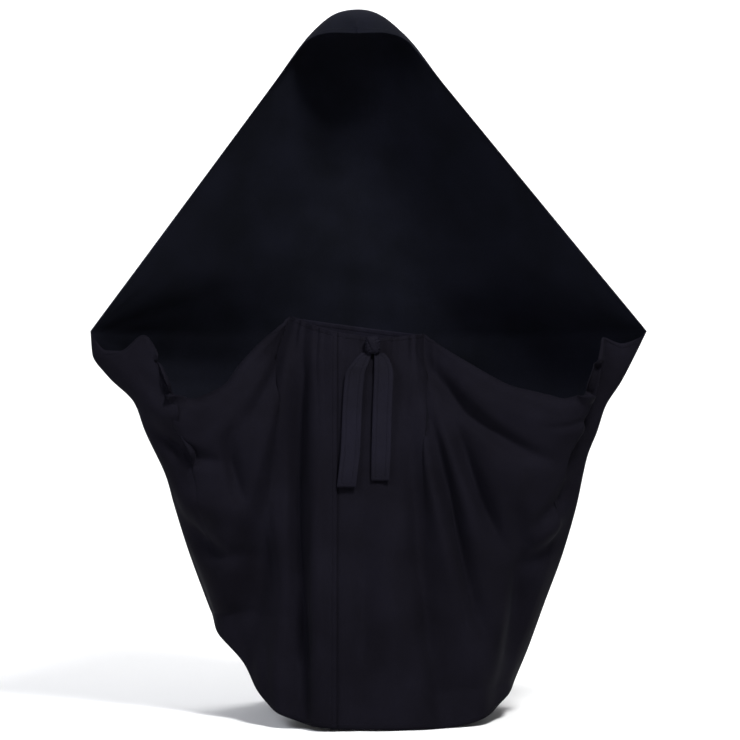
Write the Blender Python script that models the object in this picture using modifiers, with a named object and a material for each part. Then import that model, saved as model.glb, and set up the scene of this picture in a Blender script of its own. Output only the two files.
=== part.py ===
"""A waist-tied chador of matt black crepe, as it stands when its wearer holds it open with both hands.

The mantle is one sheet that lies over the head and falls to the floor behind. Its straight front edge
runs from the forehead to both hands. Below the hands two skirt halves close the front, lapped at the
middle, and hang from a band at the waist that is tied in a knot with two flat ends.

Metres, +Z up, the front towards -Y. The origin is where the inside of the crown rests on the head.
"Left" and "right" are the viewer's, seen from the front.
"""

import bmesh
import bpy
import numpy as np

for old in list(bpy.data.objects):
    bpy.data.objects.remove(old, do_unlink=True)

# The cloth
WALL = 0.0015
SEAM_GAP = 0.0003

# The whole garment, from the crown down
FLOOR_DROP = 1.605
HEAD_HALF_WIDTH = 0.119
HEAD_FRONT = 0.100
HEAD_BACK = 0.122
FOREHEAD_DROP = 0.0525

# Where the hands hold the front edge
HAND_DROP = 0.735
HAND_FORWARD = 0.200
LEFT_REACH = 0.586
RIGHT_REACH = 0.639

# How far the sides stay closed below the hands, as hem corners above the floor
LEFT_CORNER_RISE = 0.241
RIGHT_CORNER_RISE = 0.078

# The back of the mantle
HEM_BACK = 0.285
BACK_FOLD_DEPTH = 0.022

# The waist band
WAIST_DROP = 0.740
WAIST_TILT = 0.020
WAIST_DIP = 0.026
WAIST_HALF_WIDTH = 0.150
WAIST_HALF_DEPTH = 0.108
BAND_HEIGHT = 0.030
WAIST_END_TURN = 0.06
BAND_THICKNESS = 0.002

# The two skirt halves
SWAG_DROP = 0.196
SWAG_FORWARD = 0.092
ROLL_RADIUS = 0.028
LAP_LEFT = 0.043
UNDERLAP = 0.014
LAP_STAND = 0.006
HEM_FRONT = 0.290
BELLY = 0.070
FRONT_FOLD_DEPTH = 0.022

# The tie
TIE_WIDTH = 0.043
TIE_THICKNESS = 0.0018
TIE_CLEARANCE = 0.002
TIE_BEND = 0.08
TIE_BESIDE = 0.75
LEFT_TIE_LENGTH = 0.296
RIGHT_TIE_LENGTH = 0.282
KNOT_WIDTH = 0.046
KNOT_HEIGHT = 0.040
KNOT_DEPTH = 0.022
KNOT_ASIDE = 0.036
KNOT_PINCH = 0.16
KNOT_FLAT = 0.6
KNOT_SEAT_WIDTH = 0.20
KNOT_SEAT_STEP = 0.08

# How finely the sheets are divided
EDGE_ROWS = 17
SIDE_ROWS = 14
BACK_COLUMNS = 32
SWAG_COLUMNS = 16
WAIST_COLUMNS = 9
ROLL_ROWS = 6
TIE_ROWS = 14
BAND_COLUMNS = 48
PATH_STEPS = 24

# Shares that shape the sheets' in-between surface: how close the rows lie over the head, how quickly the
# folds of the back die away at its borders, how wide the round of the skirt's side is, where its belly
# starts to flatten and by how much it has done so at the hem, and how fast the rim and the hem let go.
HEAD_ROW_CROWDING = 1.35
BACK_FOLD_FADE = 0.7
SIDE_ROUND = 0.35
BELLY_FROM = 0.3
BELLY_LOSS = 0.6
RIM_LETS_GO = 3
HEM_TAKES_HOLD = 2.2

# Where the folds of the skirt fade, as shares of its width and height, and what is left of them there
SIDE_FADE = 0.08
LAP_FADE_FROM = 0.86
LAP_FADE_LOSS = 0.8
TOP_FADE = 0.12
TOP_FADE_LEFT = 0.15
FOLD_START = 0.12
FOLD_END = 0.94
FOLD_ROUND = 0.8
LAP_STAND_FROM = 0.6
LAP_STAND_BY = 0.85

# The front edge of the mantle from the forehead to a hand.
# way: share of the edge. The next three place its point over the head, as shares of the head's half
# width, front and forehead drop. to_hand: share of the straight way from the temple to the hand.
FRONT_EDGE = (
    # way, out, forward, drop, to_hand
    (0.00, 0.00, 1.00, 1.00, 0.0),
    (0.05, 0.44, 0.97, 1.02, 0.0),
    (0.09, 0.76, 0.78, 1.20, 0.0),
    (0.13, 1.00, 0.62, 1.58, 0.0),
    (0.20, 1.02, 0.60, 1.62, 0.075),
    (0.60, 1.02, 0.60, 1.62, 0.540),
    (1.00, 1.02, 0.60, 1.62, 1.000),
)

# The side of the garment from the hand down to its hem corner, where the mantle meets the skirt.
# fall: share of the way down. out: share of the reach. forward: share of the hand's.
LEFT_SIDE = (
    # fall, out, forward
    (0.00, 1.000, 1.00),
    (0.08, 0.994, 0.97),
    (0.16, 0.935, 0.92),
    (0.25, 0.840, 0.86),
    (0.35, 0.802, 0.78),
    (0.52, 0.724, 0.60),
    (0.61, 0.700, 0.50),
    (0.78, 0.650, 0.28),
    (1.00, 0.572, 0.00),
)
RIGHT_SIDE = (
    (0.00, 1.000, 1.00),
    (0.07, 0.958, 0.98),
    (0.14, 0.914, 0.94),
    (0.21, 0.861, 0.88),
    (0.28, 0.834, 0.82),
    (0.35, 0.802, 0.75),
    (0.49, 0.768, 0.60),
    (0.63, 0.723, 0.42),
    (0.77, 0.664, 0.25),
    (0.91, 0.606, 0.08),
    (1.00, 0.562, 0.00),
)

# The middle of the mantle's back, from the forehead over the head to the hem.
# The columns are shares of the head's front, the head's back, the hem's back and the whole drop.
SPINE = (
    # way, forward, back_of_head, back_of_hem, drop
    (0.000, 1.00, 0.00, 0.00, 0.0320),
    (0.014, 0.85, 0.00, 0.00, 0.0170),
    (0.036, 0.50, 0.00, 0.00, 0.0045),
    (0.064, 0.00, 0.00, 0.00, 0.0000),
    (0.091, 0.00, 0.42, 0.00, 0.0075),
    (0.128, 0.00, 0.82, 0.00, 0.0370),
    (0.168, 0.00, 1.00, 0.00, 0.0800),
    (0.210, 0.00, 1.08, 0.00, 0.1250),
    (0.300, 0.00, 0.80, 0.26, 0.2200),
    (0.420, 0.00, 0.25, 0.56, 0.3600),
    (0.500, 0.00, 0.00, 0.69, 0.4560),
    (0.620, 0.00, 0.00, 0.73, 0.5800),
    (0.800, 0.00, 0.00, 0.86, 0.7800),
    (1.000, 0.00, 0.00, 1.00, 1.0000),
)

# Each row of the mantle runs from one border round the back to the other, as two smooth arcs.
# edge: 0 forehead, 1 hand, 2 hem corner. spine: share of the middle back. The side and back columns are
# the arcs' pulls at the border and at the middle, as shares of the row's half width.
MANTLE_ROWS = (
    # edge, spine, side_out, side_back, side_up, back_out
    (0.00, 0.000, -0.15, 0.25, 0.50, 0.55),
    (0.06, 0.024, -0.15, 0.25, 0.50, 0.55),
    (0.13, 0.064, -0.13, 0.30, 0.28, 0.50),
    (0.20, 0.122, -0.40, 0.46, 0.70, 0.62),
    (0.34, 0.200, -0.38, 0.46, 0.36, 0.46),
    (0.55, 0.300, -0.36, 0.42, 0.10, 0.38),
    (0.80, 0.420, -0.33, 0.38, 0.00, 0.38),
    (1.00, 0.505, -0.12, 0.44, 0.00, 0.42),
    (1.20, 0.590, 0.00, 0.52, 0.00, 0.48),
    (1.60, 0.790, 0.00, 0.58, -0.04, 0.54),
    (2.00, 1.000, 0.00, 0.48, -0.14, 0.62),
)

# Folds that run down the back.
# across: 0 left border, 1 right border, at the hem. Widths are shares of the same way.
BACK_FOLDS = (
    # across, lean, width, depth, starts
    (0.12, 0.02, 0.035, 0.7, 0.50),
    (0.21, 0.03, 0.040, -0.8, 0.42),
    (0.31, 0.02, 0.040, 1.0, 0.34),
    (0.40, 0.01, 0.038, -0.7, 0.30),
    (0.48, 0.00, 0.040, 0.9, 0.28),
    (0.57, -0.01, 0.038, -0.9, 0.30),
    (0.66, -0.02, 0.040, 1.0, 0.33),
    (0.76, -0.03, 0.042, -0.7, 0.42),
    (0.87, -0.02, 0.035, 0.8, 0.48),
)

# The rolled upper edge of each skirt half, from the hand to the waist.
# way: share of the way sideways. sag: share of the swag's drop below the straight line.
# bow: share of the swag's forward bow. across: where that strip of cloth lies lower down, 0 the side
# and 1 the lap. roll: share of the roll's radius. turn: share of a full turn that it is rolled.
LEFT_RIM = (
    # way, sag, bow, across, roll, turn
    (0.000, 0.05, 0.00, 0.000, 0.10, 0.10),
    (0.070, 0.26, 0.22, 0.030, 0.20, 0.22),
    (0.159, 0.29, 0.40, 0.065, 0.25, 0.32),
    (0.264, 0.13, 0.52, 0.100, 0.25, 0.34),
    (0.318, 0.36, 0.62, 0.128, 0.40, 0.42),
    (0.360, 0.71, 0.74, 0.158, 0.65, 0.48),
    (0.442, 0.95, 0.88, 0.205, 0.95, 0.52),
    (0.542, 1.00, 0.96, 0.270, 1.00, 0.55),
    (0.617, 0.94, 1.00, 0.330, 1.00, 0.55),
    (0.721, 0.79, 0.96, 0.400, 0.90, 0.52),
    (0.780, 0.59, 0.85, 0.450, 0.75, 0.50),
    (0.869, 0.36, 0.60, 0.510, 0.50, 0.42),
    (1.000, 0.00, 0.00, 0.580, 0.12, 0.12),
)
RIGHT_RIM = (
    (0.000, 0.05, 0.00, 0.000, 0.10, 0.10),
    (0.110, 0.17, 0.25, 0.022, 0.20, 0.22),
    (0.186, 0.10, 0.45, 0.045, 0.25, 0.34),
    (0.202, 0.33, 0.55, 0.057, 0.35, 0.42),
    (0.218, 0.58, 0.66, 0.068, 0.50, 0.46),
    (0.246, 0.79, 0.76, 0.084, 0.70, 0.50),
    (0.299, 0.87, 0.84, 0.112, 0.90, 0.52),
    (0.379, 0.90, 0.90, 0.160, 1.00, 0.55),
    (0.459, 0.84, 0.94, 0.220, 1.00, 0.55),
    (0.539, 0.77, 0.96, 0.285, 0.95, 0.55),
    (0.633, 0.69, 0.96, 0.350, 0.90, 0.52),
    (0.727, 0.55, 0.92, 0.420, 0.80, 0.50),
    (0.820, 0.39, 0.78, 0.480, 0.65, 0.48),
    (0.900, 0.24, 0.50, 0.530, 0.45, 0.40),
    (1.000, 0.00, 0.00, 0.600, 0.12, 0.12),
)

# The hem of each skirt half, from its side corner to the lap.
# across: as in the rims. in_: share of the way sideways. fall: share of the corner's rise.
# forward: share of the hem's forward reach.
LEFT_HEM = (
    # across, in_, fall, forward
    (0.00, 0.000, 0.000, 0.00),
    (0.10, 0.160, 0.295, 0.38),
    (0.26, 0.400, 0.695, 0.66),
    (0.38, 0.525, 0.835, 0.77),
    (0.52, 0.630, 0.900, 0.86),
    (0.75, 0.810, 0.960, 0.95),
    (1.00, 1.000, 0.985, 1.00),
)
RIGHT_HEM = (
    (0.00, 0.000, 0.000, 0.00),
    (0.05, 0.040, 0.300, 0.25),
    (0.10, 0.095, 0.530, 0.42),
    (0.18, 0.165, 0.760, 0.58),
    (0.28, 0.270, 0.940, 0.73),
    (0.45, 0.430, 1.000, 0.87),
    (0.70, 0.690, 0.985, 0.97),
    (1.00, 1.000, 0.955, 1.00),
)

# The lap line's depth from the waist to the hem: fall as a share of the way down, forward as a share
# of the way from the waist's front to the hem's.
LAP_LINE = (
    # fall, forward
    (0.00, 0.00),
    (0.12, 0.20),
    (0.30, 0.38),
    (0.52, 0.58),
    (0.75, 0.80),
    (1.00, 1.00),
)

# Folds of the skirt front, as paths seen from the front: out as shares of that half's reach, down as
# shares of the whole drop. Ridges stand forward and have a positive depth, creases a negative one.
LEFT_FOLDS = (
    # out1, down1, out2, down2, out3, down3, width, depth
    (0.232, 0.450, 0.315, 0.583, 0.424, 0.752, 0.055, 0.9),
    (0.198, 0.510, 0.207, 0.715, 0.203, 0.950, 0.048, -1.4),
    (0.103, 0.510, 0.119, 0.736, 0.129, 0.980, 0.050, 0.7),
    (0.660, 0.600, 0.560, 0.625, 0.380, 0.629, 0.040, -0.6),
    (0.700, 0.680, 0.610, 0.741, 0.455, 0.767, 0.050, -0.5),
    (0.465, 0.603, 0.455, 0.716, 0.362, 0.900, 0.050, -0.5),
    (0.580, 0.654, 0.517, 0.797, 0.414, 0.920, 0.060, 0.5),
)
RIGHT_FOLDS = (
    (0.186, 0.490, 0.263, 0.634, 0.336, 0.818, 0.045, 0.8),
    (0.320, 0.520, 0.400, 0.620, 0.470, 0.757, 0.045, 0.7),
    (0.250, 0.542, 0.330, 0.675, 0.398, 0.838, 0.040, -0.9),
    (0.196, 0.613, 0.201, 0.756, 0.289, 0.980, 0.045, -0.6),
    (0.300, 0.520, 0.420, 0.595, 0.630, 0.629, 0.040, -0.6),
    (0.790, 0.634, 0.713, 0.675, 0.641, 0.705, 0.040, -0.5),
    (0.434, 0.613, 0.537, 0.654, 0.620, 0.665, 0.070, 0.9),
    (0.083, 0.695, 0.072, 0.818, 0.062, 0.980, 0.050, 0.4),
)

# The tie ends hang from the knot, gathered where they leave it.
# down: share of the end's length. aside: from the knot's middle, as a share of the tie's width.
# wide: share of its full width.
LEFT_TIE = (
    # down, aside, wide
    (0.00, -0.32, 0.55),
    (0.07, -0.62, 0.85),
    (0.16, -0.92, 1.00),
    (0.40, -1.06, 1.00),
    (0.70, -1.14, 1.00),
    (1.00, -1.36, 0.98),
)
RIGHT_TIE = (
    (0.00, 0.32, 0.55),
    (0.07, 0.50, 0.85),
    (0.16, 0.56, 1.00),
    (0.40, 0.50, 1.00),
    (0.70, 0.44, 1.00),
    (1.00, 0.38, 0.94),
)


def column(table, index):
    """One column of a table as an array."""
    return np.array([row[index] for row in table], float)


def through(stations, values, where):
    """A smooth curve through a table's values that never overshoots them: cubic pieces whose slope at
    each station is the harmonic mean of its two neighbours' slopes, or nil at a turning point."""
    stations = np.asarray(stations, float)
    values = np.asarray(values, float)
    where = np.clip(where, stations[0], stations[-1])
    steps = np.diff(stations)
    rises = np.diff(values) / steps
    slopes = np.zeros_like(values)
    slopes[0], slopes[-1] = rises[0], rises[-1]
    same = rises[:-1] * rises[1:] > 0
    both = 2 * rises[:-1] * rises[1:] / np.where(same, rises[:-1] + rises[1:], 1)
    slopes[1:-1] = np.where(same, both, 0)
    piece = np.clip(np.searchsorted(stations, where, side="right") - 1, 0, len(steps) - 1)
    t = (where - stations[piece]) / steps[piece]
    before, after = values[piece], values[piece + 1]
    pull_in, pull_out = slopes[piece] * steps[piece], slopes[piece + 1] * steps[piece]
    return (
        before * (1 + 2 * t) * (1 - t) ** 2
        + pull_in * t * (1 - t) ** 2
        + after * t**2 * (3 - 2 * t)
        + pull_out * t**2 * (t - 1)
    )


def read(table, index, where):
    """A table's column at any value of its first column."""
    return through(column(table, 0), column(table, index), where)


def eased(t):
    """From 0 to 1 with level ends."""
    t = np.clip(t, 0, 1)
    return t * t * (3 - 2 * t)


# Each half of the garment: which way it lies, and its own sizes and tables
HALVES = {
    "left": dict(
        way=-1, reach=LEFT_REACH, rise=LEFT_CORNER_RISE, side=LEFT_SIDE, rim=LEFT_RIM,
        hem=LEFT_HEM, folds=LEFT_FOLDS, lap=-LAP_LEFT, lap_stand=LAP_STAND,
    ),
    "right": dict(
        way=1, reach=RIGHT_REACH, rise=RIGHT_CORNER_RISE, side=RIGHT_SIDE, rim=RIGHT_RIM,
        hem=RIGHT_HEM, folds=RIGHT_FOLDS, lap=-LAP_LEFT - UNDERLAP, lap_stand=0.0,
    ),
}  # fmt: skip


def waist_drop_at(x, front=1.0):
    """How far below the crown the waist lies at x: it tilts a little down to the right, and its front
    half dips towards the middle."""
    dip = WAIST_DIP * np.clip(1 - (x / WAIST_HALF_WIDTH) ** 2, 0, 1)
    return WAIST_DROP - WAIST_TILT * (1 - x / WAIST_HALF_WIDTH) + front * dip


def on_waist(turn, outward):
    """A point on the waist, from its left end (turn 0) round the front to its right end (turn 1)."""
    angle = np.pi * np.asarray(turn, float)
    x = -(WAIST_HALF_WIDTH + outward) * np.cos(angle)
    y = -(WAIST_HALF_DEPTH + outward) * np.sin(angle)
    return np.stack([x, y, -waist_drop_at(x, np.sin(angle) > 0)], axis=-1)


def side_line(half, fall):
    """The side of the garment from the hand (fall 0) to the hem corner (fall 1)."""
    fall = np.asarray(fall, float)
    x = half["way"] * half["reach"] * read(half["side"], 1, fall)
    y = -HAND_FORWARD * read(half["side"], 2, fall)
    z = -HAND_DROP - (FLOOR_DROP - half["rise"] - HAND_DROP) * fall
    return np.stack([x, y, z], axis=-1)


def front_edge(half, way):
    """The mantle's straight front edge, from the middle of the forehead (0) to the hand (1)."""
    way = np.asarray(way, float)
    head = np.stack(
        [
            half["way"] * HEAD_HALF_WIDTH * read(FRONT_EDGE, 1, way),
            -HEAD_FRONT * read(FRONT_EDGE, 2, way),
            -FOREHEAD_DROP * read(FRONT_EDGE, 3, way),
        ],
        axis=-1,
    )
    hand = side_line(half, 0.0)
    taut = read(FRONT_EDGE, 4, way)[..., None]
    return head + (hand - head) * taut


def border(half, edge):
    """The mantle's border: its front edge (0 to 1), then its side (1 to 2)."""
    edge = np.asarray(edge, float)
    above = front_edge(half, np.clip(edge, 0, 1))
    below = side_line(half, np.clip(edge - 1, 0, 1))
    return np.where((edge <= 1)[..., None], above, below)


def spine(way):
    """The middle of the mantle's back, from the forehead over the head to the hem."""
    y = (
        -HEAD_FRONT * read(SPINE, 1, way)
        + HEAD_BACK * read(SPINE, 2, way)
        + HEM_BACK * read(SPINE, 3, way)
    )
    z = -FLOOR_DROP * read(SPINE, 4, way)
    return np.stack([np.zeros_like(y), y, z], axis=-1)


def normals_of(grid):
    """The unit normal at each point of a grid: across one way of it and along the other."""
    down = np.gradient(grid, axis=0)
    across = np.gradient(grid, axis=1)
    normal = np.cross(down, across)
    return normal / np.maximum(np.linalg.norm(normal, axis=2, keepdims=True), 1e-12)


def mantle_edges():
    """The border stations of the mantle's rows: close over the head, then the skirt's own rows."""
    over_head = np.linspace(0, 1, EDGE_ROWS + 1) ** HEAD_ROW_CROWDING
    down_side = 1 + np.linspace(0, 1, SIDE_ROWS + 1)[1:]
    return np.concatenate([over_head, down_side])


def mantle_grid():
    """Rows of two cubic arcs each. An arc leaves the border with its side pull, and reaches the middle of
    the back level and square to it. Folds then stand out from that surface, deepest at the hem."""
    edges = mantle_edges()[:, None]
    turn = np.linspace(0, 1, BACK_COLUMNS // 2 + 1)[None, :]
    middle = spine(read(MANTLE_ROWS, 1, edges[:, 0]))[:, None, :]
    sides = []
    for half in (HALVES["left"], HALVES["right"]):
        start = border(half, edges)
        width = np.abs(start[..., :1])
        pulls = [read(MANTLE_ROWS, i, edges)[..., None] * width for i in (2, 3, 4, 5)]
        out, back, up, level = pulls
        leave = start + np.concatenate([half["way"] * out, back, up], axis=-1)
        arrive = middle + np.concatenate([half["way"] * level, 0 * level, 0 * level], axis=-1)
        t = turn[..., None]
        arc = (
            start * (1 - t) ** 3
            + 3 * leave * t * (1 - t) ** 2
            + 3 * arrive * t**2 * (1 - t)
            + middle * t**3
        )
        sides.append(arc)
    grid = np.concatenate([sides[0], sides[1][:, -2::-1]], axis=1)
    across = np.linspace(0, 1, grid.shape[1])[None, :]
    down = edges / 2
    stand = np.zeros(grid.shape[:2])
    for place, lean, width, depth, starts in BACK_FOLDS:
        off = (across - place - lean * (1 - down)) / width
        stand += depth * np.exp(-(off**2)) * eased((down - starts) / (1 - starts))
    stand *= np.sin(np.pi * across) ** BACK_FOLD_FADE
    grid = grid + BACK_FOLD_DEPTH * stand[..., None] * outward_normals(grid)
    grid[:, 0, 1] += SEAM_GAP
    grid[:, -1, 1] += SEAM_GAP
    return grid


def outward_normals(grid):
    """Normals that point away from the garment's upright middle line."""
    normal = normals_of(grid)
    inside = grid.reshape(-1, 3).mean(axis=0) * np.array([1, 0, 1])
    if np.einsum("ijk,ijk->", normal, grid - inside) < 0:
        normal = -normal
    return normal


def even_ways(rim):
    """Shares of the rim's way that follow its bends: the table's rows, read at even steps."""
    return np.linspace(0, len(rim) - 1, SWAG_COLUMNS + 1)


def rim_columns(half):
    """The rim's points and its across, roll and turn columns, from the hand to the lap."""
    rim = half["rim"]
    rows = even_ways(rim)
    index = np.arange(len(rim))
    way, sag, bow, across, roll, turn = (
        through(index, column(rim, i), rows) for i in range(6)
    )
    hand = side_line(half, 0.0)
    end_turn = 0.5 + half["way"] * (0.5 - WAIST_END_TURN)
    lap_turn = np.arccos(-half["lap"] / WAIST_HALF_WIDTH) / np.pi
    column_turn = np.pi * abs(lap_turn - end_turn) / WAIST_COLUMNS
    chord_sag = WAIST_HALF_WIDTH * (1 - np.cos(column_turn / 2))
    off_waist = BAND_THICKNESS + SEAM_GAP + chord_sag
    waist_end = on_waist(end_turn, off_waist)
    swag = hand + (waist_end - hand) * way[:, None]
    swag[:, 1] -= SWAG_FORWARD * bow
    swag[:, 2] -= SWAG_DROP * sag
    share = np.linspace(0, 1, WAIST_COLUMNS + 1)[1:]
    turns = end_turn + (lap_turn - end_turn) * share
    waist = on_waist(turns, off_waist)
    points = np.concatenate([swag, waist])
    waist_across = across[-1] + (1 - across[-1]) * share
    across = np.concatenate([across, waist_across])
    roll = np.concatenate([roll, np.full(WAIST_COLUMNS, roll[-1])])
    turn = np.concatenate([turn, np.full(WAIST_COLUMNS, turn[-1])])
    return points, across, roll, turn


def lap_line(half, z):
    """The lap's x and y at a height."""
    top = waist_drop_at(half["lap"])
    fall = np.clip((-z - top) / (FLOOR_DROP - top), 0, 1)
    front = -WAIST_HALF_DEPTH
    y = front + (-HEM_FRONT - front) * read(LAP_LINE, 1, fall)
    return np.full_like(z, half["lap"]), y


def skirt_body(half):
    """The skirt half below its rim. A column starts on the rim, keeps its share of the way between the
    side and the lap on the way down, and ends on the hem. The front bows forward in between."""
    rim, across, _, _ = rim_columns(half)
    fall = np.linspace(0, 1, SIDE_ROWS + 1)[:, None]
    g = across[None, :]
    corner = side_line(half, 1.0)
    hem_lap = np.array([half["lap"], -HEM_FRONT, 0.0])
    share = read(half["hem"], 1, g)
    hem_x = corner[0] + (hem_lap[0] - corner[0]) * share
    hem_y = -HEM_FRONT * read(half["hem"], 3, g)
    hem_z = -FLOOR_DROP + half["rise"] * (1 - read(half["hem"], 2, g))
    top_z = rim[None, :, 2]
    z = top_z + (hem_z - top_z) * fall

    drop = FLOOR_DROP - half["rise"] - HAND_DROP

    def base(z):
        side = side_line(half, np.clip((-z - HAND_DROP) / drop, 0, 1))
        lap_x, lap_y = lap_line(half, z)
        x = side[..., 0] + (lap_x - side[..., 0]) * g
        round_side = np.sqrt(np.clip(1 - (1 - np.clip(g / SIDE_ROUND, 0, 1)) ** 2, 0, 1))
        fullness = round_side * (1 - eased((g - BELLY_FROM) / (1 - BELLY_FROM)))
        low = np.clip((-z - HAND_DROP) / (FLOOR_DROP - HAND_DROP), 0, 1)
        belly = BELLY * fullness * (1 - BELLY_LOSS * low)
        y = side[..., 1] + (lap_y - side[..., 1]) * eased(g) - belly
        return x, y

    x, y = base(z)
    rim_x, rim_y = base(np.broadcast_to(top_z, z.shape))
    end_x, end_y = base(np.broadcast_to(hem_z, z.shape))
    from_rim = (1 - fall) ** RIM_LETS_GO
    to_hem = fall**HEM_TAKES_HOLD
    x = x + (rim[None, :, 0] - rim_x) * from_rim + (hem_x - end_x) * to_hem
    y = y + (rim[None, :, 1] - rim_y) * from_rim + (hem_y - end_y) * to_hem
    seam = side_line(half, fall[:, 0])
    grid = np.stack([x, y, z], axis=-1)
    grid[:, 0] = seam
    return grid


def fold_path(fold, reach, way):
    """Points along a fold's path, seen from the front."""
    t = np.linspace(0, 1, PATH_STEPS + 1)[:, None]
    start, bend, end = (
        np.array([way * fold[i] * reach, -fold[i + 1] * FLOOR_DROP]) for i in (0, 2, 4)
    )
    return start * (1 - t) ** 2 + 2 * bend * t * (1 - t) + end * t**2, t[:, 0]


def folds_on(grid, half):
    """How far each point stands forward from the folds: a rounded profile across each path that dies
    away towards both of its ends."""
    stand = np.zeros(grid.shape[:2])
    flat = grid[..., [0, 2]].reshape(-1, 1, 2)
    for fold in half["folds"]:
        path, t = fold_path(fold, half["reach"], half["way"])
        away = np.linalg.norm(flat - path[None], axis=2)
        near = away.argmin(axis=1)
        off = away.min(axis=1) / (fold[6] * half["reach"])
        live = np.sin(np.pi * (FOLD_START + (FOLD_END - FOLD_START) * t[near])) ** FOLD_ROUND
        profile = np.exp(-(off**2))
        stand += (fold[7] * live * profile).reshape(grid.shape[:2])
    return stand


def skirt_grid(half):
    """The rolled rim's rows above the body's rows. The rim is rolled inwards about a line just inside
    it, so each strip of it is an arc from its inner end over the top to the front."""
    body = skirt_body(half)
    _, across, roll, turn = rim_columns(half)
    normal = outward_normals(body)
    side_fade = eased(across / SIDE_FADE)[None, :]
    lap_fade = 1 - LAP_FADE_LOSS * eased((across - LAP_FADE_FROM) / (1 - LAP_FADE_FROM))[None, :]
    top_fade = eased(np.linspace(0, 1, SIDE_ROWS + 1) / TOP_FADE)[:, None]
    fade = side_fade * lap_fade * (TOP_FADE_LEFT + (1 - TOP_FADE_LEFT) * top_fade)
    body = body + (FRONT_FOLD_DEPTH * folds_on(body, half) * fade)[..., None] * normal
    stands = eased((across - LAP_STAND_FROM) / (LAP_STAND_BY - LAP_STAND_FROM))
    body[:, :, 1] -= half["lap_stand"] * stands[None, :]
    normal = outward_normals(body)
    front, out = body[0], normal[0]
    along = np.gradient(front, axis=0)
    along /= np.linalg.norm(along, axis=1, keepdims=True)
    up = np.cross(along, out)
    up *= np.sign(up[:, 2:3])
    up /= np.linalg.norm(up, axis=1, keepdims=True)
    radius = ROLL_RADIUS * roll[:, None]
    rows = []
    for k in range(ROLL_ROWS, 0, -1):
        angle = (2 * np.pi * turn * k / ROLL_ROWS)[:, None]
        rows.append(front + radius * ((np.cos(angle) - 1) * out + np.sin(angle) * up))
    grid = np.concatenate([np.array(rows), body])
    grid[:, 0, 1] -= SEAM_GAP
    return grid


def material(name, colour, roughness):
    """A matt cloth colour."""
    made = bpy.data.materials.new(name)
    made.use_nodes = True
    shader = made.node_tree.nodes["Principled BSDF"]
    shader.inputs["Base Color"].default_value = (*colour, 1)
    shader.inputs["Roughness"].default_value = roughness
    shader.inputs["Metallic"].default_value = 0.0
    return made


def cloth(name, grid, thickness, colour, pole=False, closed=False):
    """A sheet of cloth on a grid of points: an open surface with its thickness added on the outside."""
    rows, columns = grid.shape[:2]
    mesh = bpy.data.meshes.new(name)
    shape = bmesh.new()
    if pole:
        top = shape.verts.new(grid[0].mean(axis=0))
        points = [[top] * columns] + [[shape.verts.new(p) for p in row] for row in grid[1:]]
    else:
        points = [[shape.verts.new(p) for p in row] for row in grid]
    for i in range(rows - 1):
        for j in range(columns if closed else columns - 1):
            k = (j + 1) % columns
            corners = [points[i][j], points[i + 1][j], points[i + 1][k], points[i][k]]
            unlike = [v for n, v in enumerate(corners) if v not in corners[:n]]
            shape.faces.new(unlike)
    shape.normal_update()
    middle = sum((f.calc_center_median() for f in shape.faces), start=shape.verts.new().co * 0)
    shape.verts.remove([v for v in shape.verts if not v.link_faces][0])
    middle = middle / len(shape.faces)
    outward = sum(f.normal.dot(f.calc_center_median() - middle) * f.calc_area() for f in shape.faces)
    if outward < 0:
        bmesh.ops.reverse_faces(shape, faces=shape.faces)
    shape.to_mesh(mesh)
    shape.free()
    mesh.shade_smooth()
    made = bpy.data.objects.new(name, mesh)
    parts.objects.link(made)
    made.data.materials.append(colour)
    thick = made.modifiers.new("thickness", "SOLIDIFY")
    thick.thickness = thickness
    thick.offset = 1.0
    return made


parts = bpy.data.collections.new("chador")
bpy.context.scene.collection.children.link(parts)

# The mantle
cloth("mantle", mantle_grid(), WALL, material("mantle_crepe", (0.010, 0.010, 0.013), 0.85), pole=True)

# The two skirt halves
left_skirt = skirt_grid(HALVES["left"])
right_skirt = skirt_grid(HALVES["right"])
cloth("front_panel_left", left_skirt, WALL, material("left_crepe", (0.011, 0.011, 0.014), 0.85))
cloth("front_panel_right", right_skirt, WALL, material("right_crepe", (0.010, 0.010, 0.013), 0.85))


def waist_band():
    """A plain band round the waist, as wide as the body's waist plus its own thickness."""
    turns = np.linspace(0, 2, BAND_COLUMNS + 1)[:-1]
    top = on_waist(turns, 0)
    return np.stack([top, top - [0, 0, BAND_HEIGHT / 2], top - [0, 0, BAND_HEIGHT]])


cloth(
    "waist_band",
    waist_band(),
    BAND_THICKNESS,
    material("band_crepe", (0.010, 0.010, 0.012), 0.8),
    closed=True,
)


def denser(grid, step):
    """The grid with straight steps added between its rows, so that no two rows lie further apart."""
    longest = np.linalg.norm(np.diff(grid, axis=0), axis=2).max()
    last = len(grid) - 1
    fine = np.linspace(0, last, int(np.ceil(longest / step)) * last + 1)
    low = np.minimum(fine.astype(int), last - 1)
    share = (fine - low)[:, None, None]
    return grid[low] * (1 - share) + grid[low + 1] * share


def skirt_front_at(x, z, aside, along):
    """How far forward the skirt stands round a point seen from the front, this far aside and along."""
    near = (np.abs(skirt_skin[:, 0] - x) < aside) & (np.abs(skirt_skin[:, 2] - z) < along)
    return skirt_skin[near, 1].min() - WALL


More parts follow.
